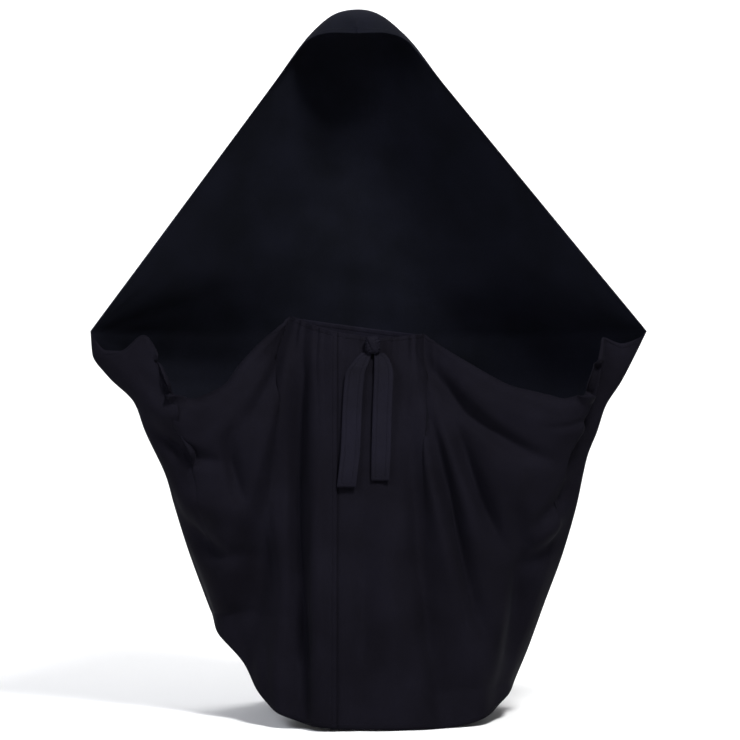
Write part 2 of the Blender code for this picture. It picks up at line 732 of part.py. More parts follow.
def tie_end(name, route, length, colour):
    """A flat tie end that leaves the foot of the knot, bends back to the skirt and lies on it, as far
    forward as the skirt stands there and with the same clearance all the way."""
    downs = np.linspace(0, 1, TIE_ROWS + 1)
    aside = KNOT_ASIDE + TIE_WIDTH * read(route, 1, downs)
    half_wide = TIE_WIDTH / 2 * read(route, 2, downs)
    step = length / (len(downs) - 1)
    z = knot_foot[1] - SEAM_GAP - length * downs
    beside = TIE_BESIDE * TIE_WIDTH
    lies = np.array([skirt_front_at(x, h, beside, step) for x, h in zip(aside, z)])
    smooth = np.minimum.reduce([np.roll(np.pad(lies, 1, mode="edge"), k)[1:-1] for k in (-1, 0, 1)])
    y = knot_foot[0] + (smooth - TIE_CLEARANCE - knot_foot[0]) * eased(downs / TIE_BEND)
    rows = [np.stack([aside + side * half_wide, y, z], axis=-1) for side in (-1, 0, 1)]
    cloth(name, np.stack(rows, axis=1), TIE_THICKNESS, colour)


def soft_knot(name, place, size, colour):
    """A knot: a block rounded by subdivision, pinched in at its waist."""
    mesh = bpy.data.meshes.new(name)
    shape = bmesh.new()
    bmesh.ops.create_cube(shape, size=1.0)
    bmesh.ops.subdivide_edges(shape, edges=shape.edges, cuts=2, use_grid_fill=True)
    for vert in shape.verts:
        pinch = 1 - KNOT_PINCH * (1 - min(1, abs(vert.co.z) * 2)) * min(1, abs(vert.co.x) * 2)
        vert.co.x *= size[0] * pinch
        vert.co.y *= size[1]
        vert.co.z *= size[2]
    shape.to_mesh(mesh)
    shape.free()
    mesh.shade_smooth()
    made = bpy.data.objects.new(name, mesh)
    parts.objects.link(made)
    made.location = place
    made.data.materials.append(colour)
    rounded = made.modifiers.new("rounded", "SUBSURF")
    rounded.levels = rounded.render_levels = 1
    return made


# The knot sits on the skirt's front just under the band
tie_colour = material("tie_crepe", (0.014, 0.014, 0.017), 0.8)
knot_drop = waist_drop_at(KNOT_ASIDE) + BAND_HEIGHT / 2
knot_heights = np.linspace(-0.5, 0.5, 7) * KNOT_FLAT * KNOT_HEIGHT
knot_window = (KNOT_SEAT_WIDTH * KNOT_WIDTH, KNOT_SEAT_STEP * KNOT_HEIGHT)
skirt_skin = np.concatenate(
    [
        denser(denser(g, knot_window[1]).swapaxes(0, 1), knot_window[0]).reshape(-1, 3)
        for g in (left_skirt, right_skirt)
    ]
)
knot_seat = np.array([skirt_front_at(KNOT_ASIDE, h - knot_drop, *knot_window) for h in knot_heights])
knot_slope = (knot_seat[-1] - knot_seat[0]) / (knot_heights[-1] - knot_heights[0])
knot_line = knot_seat[0] + knot_slope * (knot_heights - knot_heights[0])
knot_lean = np.arctan(knot_slope)
knot_off = (KNOT_DEPTH / 2 + SEAM_GAP) / np.cos(knot_lean) + (knot_line - knot_seat).max()
knot_place = (KNOT_ASIDE, knot_line.mean() - knot_off, -knot_drop)
knot_foot = (
    knot_place[1] - KNOT_HEIGHT / 2 * np.sin(knot_lean),
    knot_place[2] - KNOT_HEIGHT / 2 * np.cos(knot_lean),
)
knot = soft_knot("tie_knot", knot_place, (KNOT_WIDTH, KNOT_DEPTH, KNOT_HEIGHT), tie_colour)
knot.rotation_euler.x = -knot_lean
tie_end("tie_end_left", LEFT_TIE, LEFT_TIE_LENGTH, tie_colour)
tie_end("tie_end_right", RIGHT_TIE, RIGHT_TIE_LENGTH, tie_colour)
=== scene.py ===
# %% [markdown]
# # A waist-tied chador of matt black crepe
#
# This lesson dresses a fixed, measured model of a garment with cloth that looks real. The garment is one
# big sheet that lies over the head and falls to the floor behind, with two skirt halves that close the
# front below the waist and a flat tie. The measured model is loaded first and is never changed. Every
# piece made here lies in the same place and the same metres, and stands for one of its nodes.

import bpy
import numpy as np
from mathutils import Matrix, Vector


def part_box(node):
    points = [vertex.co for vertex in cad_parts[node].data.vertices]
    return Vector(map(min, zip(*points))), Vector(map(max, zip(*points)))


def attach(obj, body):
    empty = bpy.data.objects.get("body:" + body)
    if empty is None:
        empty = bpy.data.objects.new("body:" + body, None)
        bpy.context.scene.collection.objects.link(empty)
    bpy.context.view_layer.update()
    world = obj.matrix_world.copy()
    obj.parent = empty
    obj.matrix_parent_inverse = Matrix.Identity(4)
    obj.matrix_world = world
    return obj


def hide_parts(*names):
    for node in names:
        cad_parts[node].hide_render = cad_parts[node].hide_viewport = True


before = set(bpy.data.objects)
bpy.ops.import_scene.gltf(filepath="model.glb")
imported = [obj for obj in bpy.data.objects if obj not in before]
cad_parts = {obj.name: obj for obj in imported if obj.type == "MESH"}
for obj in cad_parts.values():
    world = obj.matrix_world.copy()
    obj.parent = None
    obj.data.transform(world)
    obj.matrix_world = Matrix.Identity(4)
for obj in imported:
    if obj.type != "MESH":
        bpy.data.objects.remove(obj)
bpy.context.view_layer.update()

# %% [markdown]
# ## The camera
#
# The camera stands level with the middle of the garment and far away, so that the garment keeps its
# proportions, as through a long lens. Its lens is worked out from how many metres one pixel covers.

# %% Camera
PIXEL = 1.64 / 718.5
PICTURE = 740
AWAY = 6.0
ASIDE_PIXELS = 13
BELOW_PIXELS = 359.5
SENSOR_MM = 36.0
camera_data = bpy.data.cameras.new("camera")
camera_data.sensor_width = SENSOR_MM
camera_data.lens = SENSOR_MM * AWAY / (PICTURE * PIXEL)
camera = bpy.data.objects.new("camera", camera_data)
camera.location = (ASIDE_PIXELS * PIXEL, -AWAY, -BELOW_PIXELS * PIXEL)
camera.rotation_euler = (np.pi / 2, 0, 0)
bpy.context.scene.collection.objects.link(camera)
bpy.context.scene.camera = camera
print("lens", round(camera_data.lens, 1), "mm")

# %% [markdown]
# ## Sizes and tables
#
# A sheet of cloth that hangs is described best by lines on it: where its edges run and how its rows bend.
# Each line is a short table of shares of a few named sizes. A smooth curve through the rows of a table
# then gives the line anywhere, however finely the sheet is divided.

# %% Named sizes, in metres
SEAM_GAP = 0.0003
FLOOR_DROP = 1.605
HEAD_HALF_WIDTH = 0.119
HEAD_FRONT = 0.100
HEAD_BACK = 0.122
FOREHEAD_DROP = 0.0640
HAND_DROP = 0.735
HAND_FORWARD = 0.200
HEM_BACK = 0.285
WAIST_DROP = 0.740
WAIST_TILT = 0.020
WAIST_DIP = 0.026
WAIST_HALF_WIDTH = 0.150
WAIST_HALF_DEPTH = 0.108
WAIST_END_TURN = 0.06
BAND_HEIGHT = 0.030
BAND_THICKNESS = 0.002
SWAG_DROP = 0.196
SWAG_FORWARD = 0.092
ROLL_RADIUS = 0.028
LAP_LEFT = 0.043
UNDERLAP = 0.014
HEM_FRONT = 0.290
BELLY = 0.070
FOLD_DEPTH = 0.028
CLOTH_THICKNESS = 0.0014

# %% The mantle's tables
FRONT_EDGE = np.array([
    # way along the edge, out, forward and drop over the head, share of the straight way to the hand
    (0.00, 0.00, 1.00, 1.00, 0.0),
    (0.05, 0.44, 0.97, 0.99, 0.0),
    (0.09, 0.76, 0.78, 1.06, 0.0),
    (0.13, 1.00, 0.62, 1.30, 0.0),
    (0.20, 1.02, 0.60, 1.33, 0.075),
    (0.60, 1.02, 0.60, 1.33, 0.540),
    (1.00, 1.02, 0.60, 1.33, 1.000),
])  # fmt: skip
SPINE = np.array([
    # way down the middle of the back, then shares of the head's front and back, the hem and the drop
    (0.000, 1.00, 0.00, 0.00, 0.0320),
    (0.014, 0.85, 0.00, 0.00, 0.0170),
    (0.036, 0.50, 0.00, 0.00, 0.0045),
    (0.064, 0.00, 0.00, 0.00, 0.0000),
    (0.091, 0.00, 0.42, 0.00, 0.0075),
    (0.128, 0.00, 0.82, 0.00, 0.0370),
    (0.168, 0.00, 1.00, 0.00, 0.0800),
    (0.210, 0.00, 1.08, 0.00, 0.1250),
    (0.300, 0.00, 0.80, 0.26, 0.2200),
    (0.420, 0.00, 0.25, 0.56, 0.3600),
    (0.500, 0.00, 0.00, 0.69, 0.4560),
    (0.620, 0.00, 0.00, 0.73, 0.5800),
    (0.800, 0.00, 0.00, 0.86, 0.7800),
    (1.000, 0.00, 0.00, 1.00, 1.0000),
])  # fmt: skip
MANTLE_ROWS = np.array([
    # border station, share of the spine, pulls at the border (out, back, up) and at the middle
    (0.00, 0.000, -0.15, 0.25, 0.50, 0.55),
    (0.06, 0.024, -0.15, 0.25, 0.50, 0.55),
    (0.13, 0.064, -0.13, 0.30, 0.28, 0.50),
    (0.20, 0.122, -0.40, 0.46, 0.70, 0.62),
    (0.34, 0.200, -0.38, 0.46, 0.36, 0.46),
    (0.55, 0.300, -0.36, 0.42, 0.10, 0.38),
    (0.80, 0.420, -0.33, 0.38, 0.00, 0.38),
    (1.00, 0.505, -0.12, 0.44, 0.00, 0.42),
    (1.20, 0.590, 0.00, 0.52, 0.00, 0.48),
    (1.60, 0.790, 0.00, 0.58, -0.04, 0.54),
    (2.00, 1.000, 0.00, 0.48, -0.14, 0.62),
])  # fmt: skip
BACK_FOLDS = (
    # place across the hem, lean, width, depth, where it starts on the way down
    (0.12, 0.02, 0.030, 0.7, 0.50),
    (0.21, 0.03, 0.026, -0.8, 0.42),
    (0.26, 0.03, 0.018, 0.4, 0.55),
    (0.31, 0.02, 0.034, 1.0, 0.34),
    (0.40, 0.01, 0.028, -0.8, 0.30),
    (0.48, 0.00, 0.036, 0.9, 0.28),
    (0.53, 0.00, 0.016, -0.4, 0.50),
    (0.57, -0.01, 0.026, -0.7, 0.30),
    (0.66, -0.02, 0.034, 1.0, 0.33),
    (0.76, -0.03, 0.030, -0.8, 0.42),
    (0.81, -0.03, 0.018, 0.4, 0.58),
    (0.87, -0.02, 0.030, 0.8, 0.48),
)

# %% The tables of the two sides, the rolled rims and the hems
LEFT_SIDE = np.array([
    # way down the side from the hand, share of the reach, share of the hand's forward place
    (0.00, 1.000, 1.00),
    (0.08, 0.994, 0.97),
    (0.16, 0.935, 0.92),
    (0.25, 0.840, 0.86),
    (0.35, 0.802, 0.78),
    (0.52, 0.724, 0.60),
    (0.61, 0.700, 0.50),
    (0.78, 0.650, 0.28),
    (1.00, 0.572, 0.00),
])  # fmt: skip
RIGHT_SIDE = np.array([
    (0.00, 1.000, 1.00),
    (0.07, 0.958, 0.98),
    (0.14, 0.914, 0.94),
    (0.21, 0.861, 0.88),
    (0.28, 0.834, 0.82),
    (0.35, 0.802, 0.75),
    (0.49, 0.768, 0.60),
    (0.63, 0.723, 0.42),
    (0.77, 0.664, 0.25),
    (0.91, 0.606, 0.08),
    (1.00, 0.562, 0.00),
])  # fmt: skip
LEFT_RIM = np.array([
    # way sideways, sag, bow, place across the skirt, share of the roll, turn of the roll
    (0.000, 0.05, 0.00, 0.000, 0.10, 0.10),
    (0.070, 0.26, 0.22, 0.030, 0.20, 0.22),
    (0.159, 0.29, 0.40, 0.065, 0.25, 0.32),
    (0.264, 0.13, 0.52, 0.100, 0.25, 0.34),
    (0.318, 0.36, 0.62, 0.128, 0.40, 0.42),
    (0.360, 0.71, 0.74, 0.158, 0.65, 0.48),
    (0.442, 0.95, 0.88, 0.205, 0.95, 0.52),
    (0.542, 1.00, 0.96, 0.270, 1.00, 0.55),
    (0.617, 0.94, 1.00, 0.330, 1.00, 0.55),
    (0.721, 0.79, 0.96, 0.400, 0.90, 0.52),
    (0.780, 0.59, 0.85, 0.450, 0.75, 0.50),
    (0.869, 0.36, 0.60, 0.510, 0.50, 0.42),
    (1.000, 0.00, 0.00, 0.580, 0.12, 0.12),
])  # fmt: skip
RIGHT_RIM = np.array([
    (0.000, 0.05, 0.00, 0.000, 0.10, 0.10),
    (0.110, 0.17, 0.25, 0.022, 0.20, 0.22),
    (0.186, 0.10, 0.45, 0.045, 0.25, 0.34),
    (0.202, 0.33, 0.55, 0.057, 0.35, 0.42),
    (0.218, 0.58, 0.66, 0.068, 0.50, 0.46),
    (0.246, 0.79, 0.76, 0.084, 0.70, 0.50),
    (0.299, 0.87, 0.84, 0.112, 0.90, 0.52),
    (0.379, 0.90, 0.90, 0.160, 1.00, 0.55),
    (0.459, 0.84, 0.94, 0.220, 1.00, 0.55),
    (0.539, 0.77, 0.96, 0.285, 0.95, 0.55),
    (0.633, 0.69, 0.96, 0.350, 0.90, 0.52),
    (0.727, 0.55, 0.92, 0.420, 0.80, 0.50),
    (0.820, 0.39, 0.78, 0.480, 0.65, 0.48),
    (0.900, 0.24, 0.50, 0.530, 0.45, 0.40),
    (1.000, 0.00, 0.00, 0.600, 0.12, 0.12),
])  # fmt: skip
LEFT_HEM = np.array([
    # place across the skirt, share of the way sideways, fall from the corner, forward reach
    (0.00, 0.000, 0.000, 0.00),
    (0.10, 0.160, 0.295, 0.38),
    (0.26, 0.400, 0.695, 0.66),
    (0.38, 0.525, 0.835, 0.77),
    (0.52, 0.630, 0.900, 0.86),
    (0.75, 0.810, 0.960, 0.95),
    (1.00, 1.000, 0.985, 1.00),
])  # fmt: skip
RIGHT_HEM = np.array([
    (0.00, 0.000, 0.000, 0.00),
    (0.05, 0.040, 0.300, 0.25),
    (0.10, 0.095, 0.530, 0.42),
    (0.18, 0.165, 0.760, 0.58),
    (0.28, 0.270, 0.940, 0.73),
    (0.45, 0.430, 1.000, 0.87),
    (0.70, 0.690, 0.985, 0.97),
    (1.00, 1.000, 0.955, 1.00),
])  # fmt: skip
LAP_LINE = np.array([
    # way down the lap, forward
    (0.00, 0.00),
    (0.12, 0.20),
    (0.30, 0.38),
    (0.52, 0.58),
    (0.75, 0.80),
    (1.00, 1.00),
])  # fmt: skip

# %% The folds of the skirt front
# Each fold is a bent path seen from the front: three points as shares of the reach and of the drop, then
# its half width as a share of the reach, its depth (ridges positive) and how sharp its profile is.
LEFT_FOLDS = (
    (0.287, 0.485, 0.312, 0.658, 0.384, 0.879, 0.086, -1.18, 1.0),
    (0.243, 0.460, 0.291, 0.555, 0.448, 0.746, 0.051, 1.09, 1.0),
    (0.219, 0.475, 0.243, 0.702, 0.219, 0.996, 0.035, -1.73, 1.0),
    (0.132, 0.600, 0.144, 0.793, 0.128, 1.022, 0.051, 0.45, 1.0),
    (0.875, 0.567, 0.730, 0.629, 0.493, 0.641, 0.035, -0.82, 1.2),
    (0.835, 0.538, 0.674, 0.614, 0.400, 0.519, 0.047, 0.73, 1.0),
    (0.549, 0.602, 0.384, 0.541, 0.271, 0.445, 0.035, 0.55, 1.0),
    (0.473, 0.599, 0.489, 0.644, 0.424, 0.702, 0.031, -0.64, 1.2),
    (0.750, 0.687, 0.638, 0.760, 0.430, 0.772, 0.043, -0.82, 1.2),
    (0.831, 0.636, 0.670, 0.701, 0.430, 0.709, 0.055, 0.55, 1.0),
    (0.386, 0.659, 0.386, 0.792, 0.435, 0.969, 0.051, -0.82, 1.0),
    (0.521, 0.688, 0.505, 0.805, 0.360, 0.996, 0.066, 0.64, 1.0),
    (0.768, 0.657, 0.608, 0.788, 0.448, 0.919, 0.055, 0.45, 1.0),
    (0.185, 0.674, 0.201, 0.852, 0.185, 1.022, 0.023, -0.41, 1.2),
    (0.964, 0.494, 0.895, 0.533, 0.835, 0.558, 0.023, -0.41, 1.2),
    (1.028, 0.482, 0.964, 0.526, 0.875, 0.552, 0.023, 0.32, 1.0),
    (0.485, 0.837, 0.457, 0.911, 0.347, 1.000, 0.043, -0.64, 1.0),
    (0.299, 0.853, 0.299, 0.942, 0.275, 1.024, 0.031, 0.36, 1.0),
)
RIGHT_FOLDS = (
    (0.327, 0.555, 0.416, 0.673, 0.497, 0.820, 0.071, -0.64, 1.0),
    (0.190, 0.485, 0.249, 0.658, 0.360, 0.864, 0.036, 0.91, 1.0),
    (0.246, 0.500, 0.334, 0.629, 0.460, 0.790, 0.039, 0.91, 1.0),
    (0.261, 0.585, 0.335, 0.718, 0.446, 0.880, 0.029, -0.91, 1.2),
    (0.306, 0.563, 0.406, 0.666, 0.528, 0.769, 0.029, -0.82, 1.2),
    (0.198, 0.600, 0.209, 0.791, 0.313, 1.027, 0.036, -0.68, 1.0),
    (0.224, 0.482, 0.371, 0.592, 0.674, 0.638, 0.032, -0.91, 1.2),
    (0.268, 0.475, 0.452, 0.573, 0.814, 0.588, 0.039, 0.64, 1.0),
    (0.655, 0.589, 0.755, 0.591, 0.836, 0.569, 0.018, -0.45, 1.4),
    (0.412, 0.614, 0.526, 0.651, 0.637, 0.724, 0.086, 0.73, 1.0),
    (0.833, 0.631, 0.744, 0.687, 0.627, 0.723, 0.032, -0.73, 1.2),
    (0.810, 0.672, 0.726, 0.723, 0.605, 0.757, 0.036, 0.41, 1.0),
    (0.766, 0.701, 0.700, 0.760, 0.579, 0.789, 0.036, -0.55, 1.2),
    (0.497, 0.790, 0.489, 0.879, 0.423, 1.011, 0.064, 0.55, 1.0),
    (0.596, 0.759, 0.566, 0.861, 0.471, 0.992, 0.046, -0.55, 1.0),
    (0.102, 0.674, 0.113, 0.793, 0.128, 1.000, 0.050, 0.32, 1.0),
    (0.024, 0.690, 0.017, 0.853, 0.009, 1.031, 0.036, -0.32, 1.0),
    (0.940, 0.475, 0.940, 0.508, 0.918, 0.544, 0.018, -0.36, 1.4),
    (1.006, 0.475, 0.977, 0.511, 0.925, 0.549, 0.014, 0.27, 1.2),
    (0.352, 0.852, 0.404, 0.926, 0.419, 1.000, 0.043, 0.41, 1.0),
    (0.526, 0.666, 0.607, 0.768, 0.556, 0.923, 0.039, -0.55, 1.0),
)

# %% Each half of the garment
HALVES = {
    "left": dict(
        way=-1, reach=0.586, rise=0.241, side=LEFT_SIDE, rim=LEFT_RIM, hem=LEFT_HEM,
        folds=LEFT_FOLDS, lap=-LAP_LEFT, lap_stand=0.006,
    ),
    "right": dict(
        way=1, reach=0.639, rise=0.078, side=RIGHT_SIDE, rim=RIGHT_RIM, hem=RIGHT_HEM,
        folds=RIGHT_FOLDS, lap=-LAP_LEFT - UNDERLAP, lap_stand=0.0,
    ),
}  # fmt: skip
print("folds in front", len(LEFT_FOLDS) + len(RIGHT_FOLDS), "and behind", len(BACK_FOLDS))

# %% [markdown]
# ## Curves through the tables
#
# A curve through a table must not swing past its rows, or the cloth would bulge where nobody asked for
# it. Cubic pieces whose slopes are the harmonic mean of their neighbours' slopes keep inside the values.


# %% Smooth reading of a table
def through(stations, values, where):
    """Cubic pieces through the values. The slope at a station is the harmonic mean of the slopes on both
    sides of it, and nil at a turning point."""
    where = np.clip(where, stations[0], stations[-1])
    steps = np.diff(stations)
    rises = np.diff(values) / steps
    slopes = np.concatenate([rises[:1], np.zeros(len(values) - 2), rises[-1:]])
    same = rises[:-1] * rises[1:] > 0
    both = 2 * rises[:-1] * rises[1:] / np.where(same, rises[:-1] + rises[1:], 1)
    slopes[1:-1] = np.where(same, both, 0)
    piece = np.clip(np.searchsorted(stations, where, side="right") - 1, 0, len(steps) - 1)
    t = (where - stations[piece]) / steps[piece]
    leave, arrive = slopes[piece] * steps[piece], slopes[piece + 1] * steps[piece]
    return (
        values[piece] * (1 + 2 * t) * (1 - t) ** 2
        + leave * t * (1 - t) ** 2
        + values[piece + 1] * t**2 * (3 - 2 * t)
        + arrive * t**2 * (t - 1)
    )


def read(table, index, where):
    """A table's column at any value of its first column."""
    return through(table[:, 0], table[:, index], where)


def eased(t):
    """From 0 to 1 with level ends: three t squared less two t cubed."""
    t = np.clip(t, 0, 1)
    return t * t * (3 - 2 * t)


# %% Lines of the garment
def waist_drop_at(x, front=1.0):
    """How far below the crown the waist lies: a line that falls to the right, with a round dip in front."""
    dip = WAIST_DIP * np.clip(1 - (x / WAIST_HALF_WIDTH) ** 2, 0, 1)
    return WAIST_DROP - WAIST_TILT * (1 - x / WAIST_HALF_WIDTH) + front * dip


def on_waist(turn, outward):
    """A point of the waist's ellipse: the left end at turn 0, round the front to the right end at 1."""
    angle = np.pi * np.asarray(turn, float)
    x = -(WAIST_HALF_WIDTH + outward) * np.cos(angle)
    y = -(WAIST_HALF_DEPTH + outward) * np.sin(angle)
    return np.stack([x, y, -waist_drop_at(x, np.sin(angle) > 0)], axis=-1)


def side_line(half, fall):
    """The side of the garment: its sideways and forward places come from the table, its height falls
    evenly from the hand to the hem's corner."""
    fall = np.asarray(fall, float)
    x = half["way"] * half["reach"] * read(half["side"], 1, fall)
    y = -HAND_FORWARD * read(half["side"], 2, fall)
    z = -HAND_DROP - (FLOOR_DROP - half["rise"] - HAND_DROP) * fall
    return np.stack([x, y, z], axis=-1)


def front_edge(half, way):
    """The mantle's front edge: points over the head, moved a share of the straight way to the hand."""
    way = np.asarray(way, float)
    x = half["way"] * HEAD_HALF_WIDTH * read(FRONT_EDGE, 1, way)
    y = -HEAD_FRONT * read(FRONT_EDGE, 2, way)
    z = -FOREHEAD_DROP * read(FRONT_EDGE, 3, way)
    head = np.stack([x, y, z], axis=-1)
    return head + (side_line(half, 0.0) - head) * read(FRONT_EDGE, 4, way)[..., None]


def border(half, edge):
    """The mantle's border: its front edge for 0 to 1, then the side for 1 to 2."""
    edge = np.asarray(edge, float)
    above = front_edge(half, np.clip(edge, 0, 1))
    below = side_line(half, np.clip(edge - 1, 0, 1))
    return np.where((edge <= 1)[..., None], above, below)


def spine(way):
    """The middle of the back, from the forehead over the head to the hem."""
    y = -HEAD_FRONT * read(SPINE, 1, way) + HEAD_BACK * read(SPINE, 2, way) + HEM_BACK * read(SPINE, 3, way)
    return np.stack([0 * y, y, -FLOOR_DROP * read(SPINE, 4, way)], axis=-1)


print("left hand", side_line(HALVES["left"], 0.0), "right hand", side_line(HALVES["right"], 0.0))

# %% [markdown]
# ## Wrinkles
#
# Crepe is limp, so between its big folds it is never quite flat: it carries shallow dents a hand's width
# long that run with the pull of the cloth. A few slanted waves of different lengths, added up, give such
# dents without a pattern that the eye can follow. The random numbers have a seed, so that the cloth is
# the same each time.


# %% Shallow dents
def dents(u, v, length, seed, waves=14):
    """A sum of sine waves over two distances in metres. Each wave has its own direction, a length near
    the one asked for and its own start; the sum is scaled to about one."""
    chance = np.random.default_rng(seed)
    total = np.zeros(np.broadcast(u, v).shape)
    for _ in range(waves):
        angle = chance.uniform(0, 2 * np.pi)
        wave = 2 * np.pi / (length * chance.uniform(0.6, 1.7))
        total += np.sin(wave * (u * np.cos(angle) + v * np.sin(angle)) + chance.uniform(0, 2 * np.pi))
    return total / np.sqrt(waves)


def normals_of(grid):
    """Unit normals of a grid of points: the cross product of its two directions, turned so that on the
    whole they point away from the garment's upright middle line."""
    normal = np.cross(np.gradient(grid, axis=0), np.gradient(grid, axis=1))
    normal /= np.maximum(np.linalg.norm(normal, axis=2, keepdims=True), 1e-12)
    middle = grid.reshape(-1, 3).mean(axis=0) * np.array([1, 0, 1])
    outward = np.einsum("ijk,ijk->", normal, grid - middle)
    return normal if outward > 0 else -normal


def arc_lengths(grid, axis):
    """The distance run along the grid's lines in one direction, in metres."""
    steps = np.linalg.norm(np.diff(grid, axis=axis), axis=2)
    start = np.zeros_like(steps[:1] if axis == 0 else steps[:, :1])
    return np.concatenate([start, np.cumsum(steps, axis=axis)], axis=axis)


# %% [markdown]
# ## From a grid to a piece of cloth
#
# A sheet is a grid of points, so its mesh is quickly made from whole arrays: the points in order, and
# four corners for each little square. A second map holds the way along the cloth in metres, which the
# stitches follow, and an attribute tells each point how far it lies from the sheet's free edges.


# %% Mesh from a grid
def cloth_piece(name, grid, thickness, edges, pole=False, closed=False):
    """The grid's points and squares as a mesh, with the way along both directions in metres as its map,
    and the distance to the nearest of the named edges (top, left, bottom, right) as an attribute. The
    thickness is added on the outside."""
    rows, columns = grid.shape[:2]
    down = arc_lengths(grid, 0)
    across = arc_lengths(grid, 1)
    gaps = dict(t=down, b=down[-1:] - down, l=across, r=across[:, -1:] - across)
    to_edge = np.minimum.reduce([gaps[e] for e in edges])
    index = np.arange(rows * columns).reshape(rows, columns)
    beside = np.roll(index, -1, axis=1) if closed else index[:, 1:]
    first = index if closed else index[:, :-1]
    faces = np.stack([first[:-1], first[1:], beside[1:], beside[:-1]], axis=-1).reshape(-1, 4)
    if pole:
        faces[faces < columns] = 0
    points = grid.reshape(-1, 3)
    corner = points[faces]
    middle = points.mean(axis=0) * np.array([1, 0, 1])
    face_normal = np.cross(corner[:, 1] - corner[:, 0], corner[:, 2] - corner[:, 0])
    if np.einsum("ij,ij->", face_normal, corner.mean(axis=1) - middle) < 0:
        faces = faces[:, ::-1]
    polygons = [list(dict.fromkeys(face)) for face in faces.tolist()]
    polygons = [face for face in polygons if len(face) > 2]
    mesh = bpy.data.meshes.new(name)
    mesh.from_pydata(points.tolist(), [], polygons)
    used = np.zeros(len(mesh.loops), int)
    mesh.loops.foreach_get("vertex_index", used)
    way = np.stack([across.reshape(-1)[used], down.reshape(-1)[used]], axis=-1)
    mesh.uv_layers.new(name="cloth_metres").data.foreach_set("uv", way.reshape(-1))
    layer = mesh.attributes.new("to_edge", "FLOAT", "POINT")
    layer.data.foreach_set("value", to_edge.reshape(-1))
    mesh.shade_smooth()
    if pole:
        drop_loose(mesh)
    made = bpy.data.objects.new(name, mesh)
    bpy.context.scene.collection.objects.link(made)
    wall = made.modifiers.new("thickness", "SOLIDIFY")
    wall.thickness = thickness
    wall.offset = 1.0
    area = np.linalg.norm(face_normal, axis=1).sum()
    print(name, rows, "by", columns, "points,", round(area, 3), "square metres")
    return made


def drop_loose(mesh):
    """Removes the points of a pole's row that no face uses any more."""
    import bmesh

    shape = bmesh.new()
    shape.from_mesh(mesh)
    bmesh.ops.delete(shape, geom=[v for v in shape.verts if not v.link_faces], context="VERTS")
    shape.to_mesh(mesh)
    shape.free()


# %% [markdown]
# ## Materials
#
# The cloth is woven polyester crepe: very fine, hard-twisted threads that crinkle when they are dyed. It
# has no shine of its own. What the eye sees is a deep black with a cold cast, a soft bloom where the
# cloth turns away, and a fine uneven grain. The tie is the same cloth, doubled and pressed, so it is a
# little smoother. Its colours are a little lighter than the skirt's: painted light on the same cloth.


# %% Colours and a helper for nodes
def linear(code):
    """An sRGB hex colour as linear light: each channel by the sRGB curve."""
    channels = np.array([int(code[i : i + 2], 16) for i in (1, 3, 5)]) / 255
    low = channels / 12.92
    high = ((channels + 0.055) / 1.055) ** 2.4
    return (*np.where(channels <= 0.04045, low, high), 1.0)


def add_node(tree, kind, links=(), **settings):
    """A node with its settings, and links given as (its input, another node's output)."""
    node = tree.nodes.new(kind)
    for name, value in settings.items():
        if name.startswith("in_"):
            node.inputs[int(name[3:]) if name[3:].isdigit() else name[3:]].default_value = value
        else:
            setattr(node, name, value)
    for target, source in links:
        tree.links.new(node.inputs[target], source)
    return node


# %% Woven polyester crepe
GRAIN_MM = 2.6  # the real crinkle is about 0.6 mm, too fine to show at this distance, so it is drawn coarser
PEBBLE_MM = (3.4, 9.0)  # the crepe's pebbles are longer than wide, and drawn coarser for the same reason
STITCH_MM = 3.0
HEM_MM = 11.0


